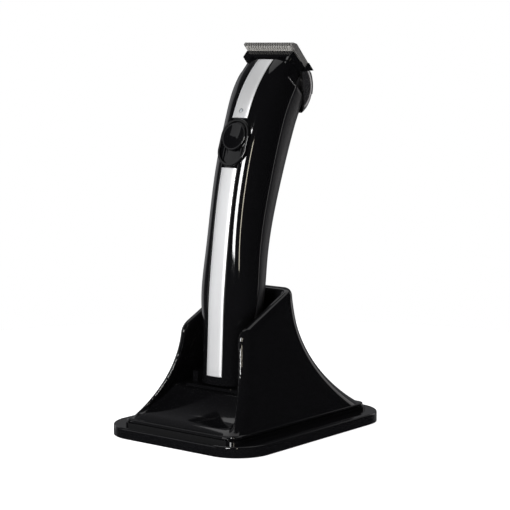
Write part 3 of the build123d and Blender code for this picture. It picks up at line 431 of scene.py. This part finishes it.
def inSpace(distance, x, back, along=0.0):
    # a point of the section at this distance: x to the side, back towards the rear
    y, z, lean = spineAt(distance)
    return Vector((x, y + back * math.cos(lean) + along * math.sin(lean),
                   z - back * math.sin(lean) + along * math.cos(lean)))


def bezier(t, low, high, fullness):
    # quarter of the full oval: t = 0 at the middle of the face, 1 at the seam
    u = 1 - t
    x = 3 * u * u * t * fullness * high + 3 * u * t * t * high + t ** 3 * high
    deep = u ** 3 * low + 3 * u * u * t * low + 3 * u * t * t * fullness * low
    return x, deep


def sectionPoint(distance, t, front, inset=0.0):
    halfWidth, frontDeep, rearDeep, fullness = (f(distance) for f in sectionAt)
    narrow = body["neckRecess"] * smoothStep((distance - body["neckStart"]) / body["neckBlend"])
    shown = 0.0 if front else narrow
    side = halfWidth - inset - narrow * (1 if not front else t ** 2)
    deep = (frontDeep if front else rearDeep) - inset - shown
    x, back = bezier(t, deep, side, fullness)
    return x, (-back if front else back)


def smoothStep(x):
    x = min(max(x, 0.0), 1.0)
    return x * x * (3 - 2 * x)


def shareForX(distance, x):
    low, high = 0.0, 1.0
    for _ in range(body["shareSteps"]):
        middle = (low + high) / 2
        if sectionPoint(distance, middle, True)[0] < x:
            low = middle
        else:
            high = middle
    return (low + high) / 2


def meshFrom(name, points, faces):
    mesh = bpy.data.meshes.new(name)
    mesh.from_pydata([tuple(p) for p in points], [], faces)
    mesh.validate()
    build = bmesh.new()
    build.from_mesh(mesh)
    bmesh.ops.recalc_face_normals(build, faces=build.faces)
    build.to_mesh(mesh)
    build.free()
    piece = bpy.data.objects.new(name, mesh)
    bpy.context.scene.collection.objects.link(piece)
    return piece


def closedShell(name, outer, inner):
    # two grids with the same rows and columns, closed round their edges
    rows, columns = len(outer), len(outer[0])
    points = [p for row in outer for p in row] + [p for row in inner for p in row]
    shift = rows * columns

    def at(r, c):
        return r * columns + c

    faces = []
    for r in range(rows - 1):
        for c in range(columns - 1):
            quad = (at(r, c), at(r, c + 1), at(r + 1, c + 1), at(r + 1, c))
            faces.append(quad)
            faces.append(tuple(shift + i for i in reversed(quad)))
    rim = [at(0, c) for c in range(columns)] + [at(r, columns - 1) for r in range(1, rows)]
    rim += [at(rows - 1, c) for c in range(columns - 2, -1, -1)] + [at(r, 0) for r in range(rows - 2, 0, -1)]
    for i, here in enumerate(rim):
        there = rim[(i + 1) % len(rim)]
        faces.append((here, there, shift + there, shift + here))
    return meshFrom(name, points, faces)


def smooth(piece, angle=35):
    piece.data.shade_smooth()
    piece.data.set_sharp_from_angle(angle=math.radians(angle))


def dress(piece, node, slotName, bodyName):
    piece.data.materials.append(finishes[slotName])
    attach(piece, bodyName)
    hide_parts(*([node] if isinstance(node, str) else node))


def spaced(start, end, step):
    count = max(2, round((end - start) / step) + 1)
    return [start + (end - start) * i / (count - 1) for i in range(count)]


def bodyHalf(name, front):
    length = sum(part[0] for part in body["arcs"])
    grooveHalf = strip["half"] + strip["gap"]
    grooveFrom, grooveTo = strip["start"] - strip["gap"], strip["end"] + strip["gap"]
    hair = strip["hair"]
    rows = spaced(0.0, length, body["rowStep"])
    if front:
        rows += [grooveFrom, grooveFrom + hair, grooveTo - hair, grooveTo]
    rows = sorted(rows)
    if front:
        flat = [grooveHalf + strip["round"], grooveHalf + hair, grooveHalf, grooveHalf * 0.5]
        flat = [flat[0] * strip["outerColumn"]] + flat
    else:
        flat = [0.005, 0.0025]
    outer, inner = [], []
    for distance in rows:
        shares = [shareForX(distance, x) for x in flat] if front else [0.2, 0.1]
        top = shares[0]
        side = [top + (1 - top) * i / body["sideColumns"] for i in range(body["sideColumns"], 0, -1)]
        half = side + shares
        columns = [(t, 1) for t in half] + [(0.0, 1)] + [(t, -1) for t in reversed(half)]
        outLine, inLine = [], []
        for t, sign in columns:
            x, back = sectionPoint(distance, t, front)
            sunk = 0.0
            if front and abs(x) <= grooveHalf + hair / 2 and grooveFrom < distance < grooveTo:
                sunk = strip["groove"]
            elif front and abs(x) <= grooveHalf + hair * 1.5 and grooveFrom < distance < grooveTo:
                sunk = strip["round"] * 0.5
            gap = body["seamGap"] if t == 1 else 0.0
            drawn = body["seamRound"] * max(0.0, (t - body["seamFrom"]) / body["seamZone"]) ** 2
            scale = (abs(back) - sunk) / max(abs(back), 1e-9)
            outLine.append(inSpace(distance, sign * (x - drawn), back * scale + (-gap if front else gap)))
            xi, backi = sectionPoint(distance, t, front, body["wall"] + body["liningGap"])
            inLine.append(inSpace(distance, sign * xi, backi + (-gap if front else gap)))
        outer.append(outLine)
        inner.append(inLine)
    return closedShell(name, outer, inner)


def trimStrip(name, start, end):
    edge, half = strip["round"], strip["half"]
    eased = edge * strip["roundShare"]
    rows = [start, start + eased, start + edge] + spaced(start + 2 * edge, end - 2 * edge, strip["rows"])
    rows += [end - edge, end - eased, end]
    drops = {0: edge, 1: eased, 2: 0.0}
    widths = [half, half - eased, half - edge] + [half * share for share in strip["columns"]]
    outer, inner = [], []
    for r, distance in enumerate(rows):
        endDrop = drops.get(min(r, len(rows) - 1 - r), 0.0)
        columns = [(x, 1) for x in widths] + [(0.0, 1)] + [(x, -1) for x in reversed(widths)]
        outLine, inLine = [], []
        for c, (x, sign) in enumerate(columns):
            drop = max(drops.get(min(c, len(columns) - 1 - c), 0.0), endDrop)
            back = sectionPoint(distance, shareForX(distance, x), True)[1]
            outLine.append(inSpace(distance, sign * x, back + drop))
            inLine.append(inSpace(distance, sign * x, back + strip["thick"]))
        outer.append(outLine)
        inner.append(inLine)
    return closedShell(name, outer, inner)


# the stand shell: a field that is negative inside, with every edge rounded, turned into a mesh
stand = {
    "bottom": 7.45, "base": 8.9, "halfBase": 35.1, "halfWaist": 21.3, "sideWaist": 58.0,
    "frontWaist": (-29.2, 54.0), "frontBase": -52.1, "rearWaist": (12.0, 80.0), "rearBase": 52.1,
    "ridge": 6.5, "wing": 4.6, "rim": (-25.0, 54.5, 25.3), "rimRound": 3.4, "innerRound": 1.6,
    "ramp": ((-52.7, 9.5), (-27.6, 22.2)), "rampSag": 1.8, "pocketFloor": 23.2,
    "pocketBack": 0.0, "backSlope": 0.144, "creaseRound": 1.1,
    "sillRun": 2.2, "floorLevel": 0.88, "backLevel": 0.99,
    "jackHalf": 4.7, "jackLow": 8.7, "jackHigh": 18.1, "jackFace": 34.0, "jackRound": 0.4,
    "low": (-38, -55, 6), "high": (38, 55, 76), "step": 0.85, "polish": 3, "ease": 0.6, "sharp": 50,
}
lip = {"half": (35.6, 52.6), "corner": 5.0, "low": 7.3, "high": 8.9, "round": 0.45, "share": 0.6,
       "turns": 12, "roundAt": (0.52, 1.05, 1.57)}
mm = 0.001


def flare(z, top, topHeight, base):
    # quarter-like arc, upright at its top: returns how far out the face is, and its slope
    reach, drop = abs(base - top), topHeight - stand["base"]
    radius = (reach ** 2 + drop ** 2) / (2 * reach)
    below = np.clip(topHeight - z, 0, radius * 0.98)
    fall = np.sqrt(radius ** 2 - below ** 2)
    return radius - fall, below / fall


def both(a, b, radius):
    # inside both fields, with a rounded edge
    u, v = np.maximum(a + radius, 0), np.maximum(b + radius, 0)
    return np.minimum(-radius, np.maximum(a, b)) + np.sqrt(u * u + v * v)


def standField(p):
    x, y, z = np.abs(p[..., 0]), p[..., 1], p[..., 2]
    out, slope = flare(z, stand["halfWaist"], stand["sideWaist"], stand["halfBase"])
    steep = np.sqrt(1 + slope ** 2)
    side = (x - stand["halfWaist"] - out) / steep
    channelSide = (x - stand["halfWaist"] - out + stand["wing"]) / steep
    out, slope = flare(z, *stand["frontWaist"], stand["frontBase"])
    front = (stand["frontWaist"][0] - out - y) / np.sqrt(1 + slope ** 2)
    out, slope = flare(z, *stand["rearWaist"], stand["rearBase"])
    rear = (y - stand["rearWaist"][0] - out) / np.sqrt(1 + slope ** 2)
    form = both(side, np.maximum(front, rear), stand["ridge"])
    rimY, rimZ, rimSlope = stand["rim"]
    tilt = math.radians(rimSlope)
    rim = (z - rimZ) * math.cos(tilt) - (y - rimY) * math.sin(tilt)
    form = both(form, rim, stand["rimRound"])
    (footY, footZ), (topY, topZ) = stand["ramp"]
    share = np.clip((y - footY) / (topY - footY), 0, 1)
    floor = footZ + (topZ - footZ) * share - 4 * stand["rampSag"] * share * (1 - share)
    sill = topZ + np.clip((y - topY) / stand["sillRun"], 0, 1) * (stand["pocketFloor"] - topZ)
    under = (np.where(y > topY, sill, floor) - z) * stand["floorLevel"]
    behind = (y - stand["pocketBack"] - stand["backSlope"] * (z - stand["pocketFloor"])) * stand["backLevel"]
    channel = both(both(channelSide, under, stand["creaseRound"]), behind, stand["creaseRound"])
    form = both(form, -channel, stand["innerRound"])
    jack = np.maximum(np.maximum(x - stand["jackHalf"], stand["jackFace"] - y),
                      np.maximum(stand["jackLow"] - z, z - stand["jackHigh"]))
    form = both(form, -jack, stand["jackRound"])
    return np.maximum(form, stand["bottom"] - z)


def onField(points, field, rounds=4, reach=1e-3):
    for _ in range(rounds):
        value = field(points)
        slope = np.stack([(field(points + axis) - field(points - axis)) / (2 * reach)
                          for axis in np.eye(3) * reach], axis=-1)
        size = np.maximum((slope ** 2).sum(-1), 0.05)
        points = points - np.clip(value / size, -0.8, 0.8)[..., None] * slope
    return points


def netSurface(name, field, low, high, step, polish):
    axes = [np.arange(a, b + step, step) for a, b in zip(low, high)]
    inside = field(np.stack(np.meshgrid(*axes, indexing="ij"), -1)) < 0
    corners = [inside[i:inside.shape[0] - 1 + i, j:inside.shape[1] - 1 + j, k:inside.shape[2] - 1 + k]
               for i in (0, 1) for j in (0, 1) for k in (0, 1)]
    count = sum(c.astype(int) for c in corners)
    mixed = (count > 0) & (count < 8)
    index = -np.ones(mixed.shape, int)
    index[mixed] = np.arange(mixed.sum())
    cells = np.argwhere(mixed)
    points = (cells + 0.5) * step + np.array(low)
    faces = []
    for axis in range(3):
        a, b = [d for d in range(3) if d != axis]
        here = np.moveaxis(inside, axis, 0)
        cross = np.argwhere(here[:-1] != here[1:])
        grid = np.moveaxis(index, axis, 0)
        layer, row, column = cross.T
        kept = (row > 0) & (column > 0) & (row < grid.shape[1]) & (column < grid.shape[2])
        layer, row, column = cross[kept].T
        quad = [grid[layer, row - i, column - j] for i, j in ((1, 1), (0, 1), (0, 0), (1, 0))]
        faces.append(np.stack(quad, -1))
    faces = np.concatenate(faces)
    faces = faces[(faces >= 0).all(1)]
    points = onField(points, field)
    sides = np.concatenate([faces[:, [i, (i + 1) % 4]] for i in range(4)])
    edges = np.unique(np.sort(sides, axis=1), axis=0)
    degree = np.bincount(edges.ravel(), minlength=len(points))[:, None]
    for _ in range(polish):
        total = np.zeros_like(points)
        np.add.at(total, edges[:, 0], points[edges[:, 1]])
        np.add.at(total, edges[:, 1], points[edges[:, 0]])
        eased = total / np.maximum(degree, 1)
        points = onField((1 - stand["ease"]) * points + stand["ease"] * eased, field, 2)
    return meshFrom(name, points * mm, faces.tolist())


def makeStand():
    shell = netSurface("standSkin", standField, stand["low"], stand["high"], stand["step"], stand["polish"])
    smooth(shell, stand["sharp"])
    edge = lipPlate()
    dress(shell, "stand_shell", "gloss_black", "stand")
    dress(edge, (), "gloss_black", "stand")
    print("stand shell", len(shell.data.vertices), "points")


def lipPlate():
    halfX, halfY = lip["half"]
    corner, turns = lip["corner"], lip["turns"]
    outline = []
    for quarter, (sx, sy) in enumerate(((1, 1), (-1, 1), (-1, -1), (1, -1))):
        for i in range(turns + 1):
            angle = math.radians(90 * quarter + 90 * i / turns)
            outline.append((sx * (halfX - corner) + math.cos(angle) * corner,
                            sy * (halfY - corner) + math.sin(angle) * corner))
    low, high, edge = lip["low"], lip["high"], lip["round"]
    levels = [(low, edge * lip["share"]), (low + edge * lip["share"], 0.0), (high - edge, 0.0)]
    levels += [(high - edge + edge * math.sin(a), edge - edge * math.cos(a)) for a in lip["roundAt"]]
    points, faces = [], []
    for z, drawn in levels:
        points += [(x * (1 - drawn / halfX) * mm, y * (1 - drawn / halfY) * mm, z * mm) for x, y in outline]
    n = len(outline)
    for r in range(len(levels) - 1):
        here, above = r * n, (r + 1) * n
        faces += [(here + i, here + (i + 1) % n, above + (i + 1) % n, above + i) for i in range(n)]
    faces += [tuple(range(n)), tuple(range(len(points) - n, len(points)))]
    plate = meshFrom("standLip", points, faces)
    smooth(plate)
    return plate


lamp = {"station": 0.1304, "radius": 0.0009, "proud": 0.00012, "deep": 0.0006, "ring": 0.00013,
        "ringShare": 0.6, "ringSteps": 13, "sides": 40, "steps": 5}


def makeLampLens():
    # a low clear dome in a thin dark ring, flush in the upper strip
    centre = inSpace(lamp["station"], 0.0, sectionPoint(lamp["station"], 0.0, True)[1])
    lean = spineAt(lamp["station"])[2]
    out = Vector((0, -math.cos(lean), math.sin(lean)))
    across = Vector((0, math.sin(lean), math.cos(lean)))
    radius, ring, steps = lamp["radius"], lamp["ring"], lamp["steps"]
    dome = [(radius * i / steps, lamp["proud"] * (1 - (i / steps) ** 2)) for i in range(steps + 1)]
    dome += [(radius, -lamp["deep"]), (0.0, -lamp["deep"])]
    tube = [(radius + ring * (1 + math.cos(a)), ring * lamp["ringShare"] * math.sin(a))
            for a in np.linspace(0, 6.2832, lamp["ringSteps"])]
    for name, node, slotName, profile in (
            ("lampLens", "charge_lamp", "lamp_clear", dome), ("lampRing", (), "gloss_black", tube)):
        points, faces = [], []
        n = len(profile)
        for k in range(lamp["sides"]):
            angle = 2 * math.pi * k / lamp["sides"]
            side = Vector((1, 0, 0)) * math.cos(angle) + across * math.sin(angle)
            points += [centre + side * reach + out * high for reach, high in profile]
        for k in range(lamp["sides"]):
            j = (k + 1) % lamp["sides"]
            faces += [(k * n + i, k * n + i + 1, j * n + i + 1, j * n + i) for i in range(n - 1)]
        piece = meshFrom(name, points, faces)
        build = bmesh.new()
        build.from_mesh(piece.data)
        bmesh.ops.remove_doubles(build, verts=build.verts, dist=1e-7)
        bmesh.ops.recalc_face_normals(build, faces=build.faces)
        build.to_mesh(piece.data)
        build.free()
        smooth(piece)
        dress(piece, node, slotName, "clipper")


frontSkin = bodyHalf("frontSkin", True)
rearSkin = bodyHalf("rearSkin", False)
smooth(frontSkin)
smooth(rearSkin)
dress(frontSkin, "front_shell", "gloss_black", "clipper")
dress(rearSkin, "rear_shell", "satin_black", "clipper")
makeLampLens()
switchLow, switchHigh = strip["switchAt"] - strip["switchHalf"], strip["switchAt"] + strip["switchHalf"]
upperTrim = trimStrip("upperTrim", switchHigh - strip["lap"], strip["end"])
lowerTrim = trimStrip("lowerTrim", strip["start"], switchLow + strip["lap"])
smooth(upperTrim)
smooth(lowerTrim)
dress(upperTrim, "upper_trim_strip", "trim_silver", "clipper")
dress(lowerTrim, "lower_trim_strip", "trim_silver", "clipper")
print("clipper body modelled")
makeStand()


# the studio: pale floor, white surround and softboxes
studio = {
    "target": (0.0029, 0.0024, 0.0868),
    "eye": (0.5285, -0.6483, 0.1901),
    "lens": 120.2,
    "sensor": 36.0,
    "floorRadius": 0.33,
    "floorSides": 96,
    "floorColour": (0.93, 0.93, 0.93),
    "floorLight": (0.95, 0.95, 0.95),
    "floorCloud": 30.0,
    "floorGlow": 0.9,
    "floorHaze": 0.8,
    "clip": (0.01, 20),
    "shade": [(0.0, (0.012, 0.012, 0.014)), (0.45, (0.03, 0.03, 0.033)),
              (0.8, (0.16, 0.16, 0.17)), (1.0, (0.12, 0.12, 0.125))],
}
softboxes = {
    "whiteStrip": {"azimuth": 10, "elevation": 21, "distance": 1.5,
                   "size": (0.3, 0.72), "power": 20, "colour": (1, 1, 1)},
    "creamStrip": {"azimuth": 37.5, "elevation": 17, "distance": 1.7,
                   "size": (0.09, 0.62), "power": 2.8, "colour": (1, 0.93, 0.76)},
    "leftBank": {"azimuth": -42, "elevation": 12, "distance": 1.5,
                 "size": (0.75, 0.95), "power": 1.3, "colour": (0.98, 0.99, 1)},
    "sideWall": {"azimuth": -100, "elevation": 8, "distance": 1.5,
                 "size": (0.7, 1.3), "power": 1.3, "colour": (0.97, 0.97, 1)},
    "rearWall": {"azimuth": 165, "elevation": 10, "distance": 1.5,
                 "size": (0.5, 1.2), "power": 1.5, "colour": (1, 0.97, 0.97)},
    "topBank": {"azimuth": -150, "elevation": 70, "distance": 1.6,
                "size": (1.6, 1.2), "power": 5, "colour": (1, 1, 1)},
}


def paleFloor(g):
    cloud = g.noise(g.place(), studio["floorCloud"])
    return {
        "Base Color": g.mix(cloud, studio["floorColour"], studio["floorLight"]),
        "Emission Color": (1.0, 1.0, 1.0),
    }


def makeFloor():
    mesh = bpy.data.meshes.new("floor")
    build = bmesh.new()
    bmesh.ops.create_circle(build, cap_ends=True, segments=studio["floorSides"], radius=studio["floorRadius"])
    build.to_mesh(mesh)
    build.free()
    floor = bpy.data.objects.new("floor", mesh)
    bpy.context.scene.collection.objects.link(floor)
    fixed = {"Roughness": studio["floorHaze"], "Emission Strength": studio["floorGlow"]}
    floor.data.materials.append(surface("paleFloor", fixed, paleFloor))
    floor.visible_glossy = False  # a black base shows no pale ground in its sides


def makeWorld():
    world = bpy.data.worlds.new("studio")
    world.use_nodes = True
    bpy.context.scene.world = world
    g = Graph(world.node_tree)
    heading = g.node("ShaderNodeTexCoord", out="Generated")
    away = Vector(studio["target"]) - Vector(studio["eye"])
    away.z = 0
    facing = g.node("ShaderNodeVectorMath", {"operation": "DOT_PRODUCT"}, {
        0: heading, 1: tuple(away.normalized())}, out="Value")
    behind = g.node("ShaderNodeValToRGB", {"stops": studio["shade"]}, {"Fac": facing})
    seen = g.node("ShaderNodeLightPath", out="Is Camera Ray")
    colour = g.mix(seen, behind, (1, 1, 1))
    shade = g.node("ShaderNodeBackground", None, {"Color": colour, "Strength": 1.0})
    g.node("ShaderNodeOutputWorld", None, {"Surface": shade}, None)


def onSphere(azimuth, elevation, distance):
    a, e = math.radians(azimuth), math.radians(elevation)
    reach = Vector((math.sin(a) * math.cos(e), -math.cos(a) * math.cos(e), math.sin(e)))
    return Vector(studio["target"]) + reach * distance


def makeLights():
    for name, box in softboxes.items():
        light = bpy.data.lights.new(name, "AREA")
        light.shape = "RECTANGLE"
        light.size, light.size_y = box["size"]
        light.energy = box["power"]
        light.color = box["colour"]
        softbox = bpy.data.objects.new(name, light)
        bpy.context.scene.collection.objects.link(softbox)
        softbox.location = onSphere(box["azimuth"], box["elevation"], box["distance"])
        towards = Vector(studio["target"]) - softbox.location
        softbox.rotation_euler = towards.to_track_quat("-Z", "Y").to_euler()


def makeCamera():
    lens = bpy.data.cameras.new("camera")
    lens.lens = studio["lens"]
    lens.sensor_width = studio["sensor"]
    lens.clip_start, lens.clip_end = studio["clip"]
    camera = bpy.data.objects.new("camera", lens)
    bpy.context.scene.collection.objects.link(camera)
    camera.location = studio["eye"]
    camera.rotation_euler = (Vector(studio["target"]) - camera.location).to_track_quat("-Z", "Y").to_euler()
    bpy.context.scene.camera = camera


makeFloor()
makeWorld()
makeLights()
makeCamera()
bpy.context.scene.view_settings.view_transform = "Standard"
print("studio ready")
